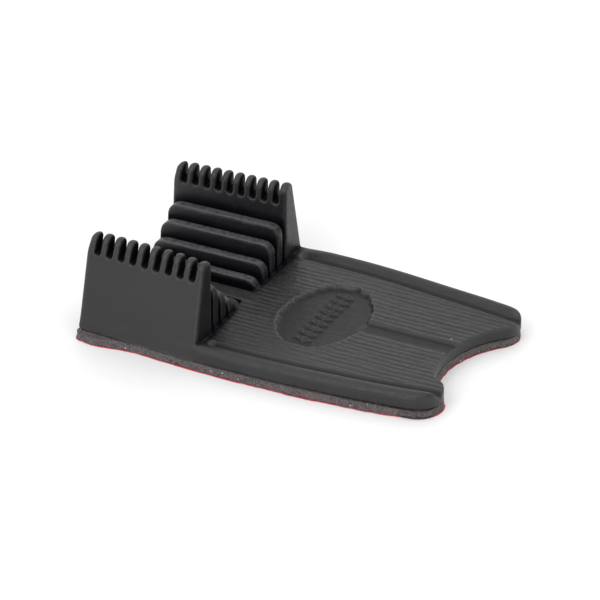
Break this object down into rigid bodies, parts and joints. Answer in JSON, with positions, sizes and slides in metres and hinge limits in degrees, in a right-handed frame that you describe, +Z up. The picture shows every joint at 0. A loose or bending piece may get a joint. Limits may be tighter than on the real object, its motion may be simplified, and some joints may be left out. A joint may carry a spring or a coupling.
{
  "type": "snowboard stomp pad",
  "caption": "Moulded rubber grip pad for a snowboard: ribbed deck with a notched nose, toothed side walls, stepped fins, foam tape and a pull-off release liner.",
  "frame": {"origin": "centre of the footprint, on the surface that the liner rests on", "axes": "+X along the pad towards its notched nose, +Y across the pad, +Z up"},
  "size_m": [0.1, 0.061, 0.0274],
  "materials": {
    "rubber": "matte moulded black rubber with a fine grain",
    "adhesive": "tacky translucent acrylic adhesive film",
    "foam": "matte speckled grey foam with cut edges",
    "liner": "smooth red release film"
  },
  "bodies": {
    "pad": {"rubber_pad": "rubber", "upper_adhesive": "adhesive", "foam_core": "foam", "lower_adhesive": "adhesive"},
    "liner": {"release_liner": "liner"}
  },
  "joints": [
    {"name": "liner_peel", "type": "slide", "parent": "pad", "child": "liner", "axis": [0, -1, 0], "range_m": [0, 0.065]}
  ]
}
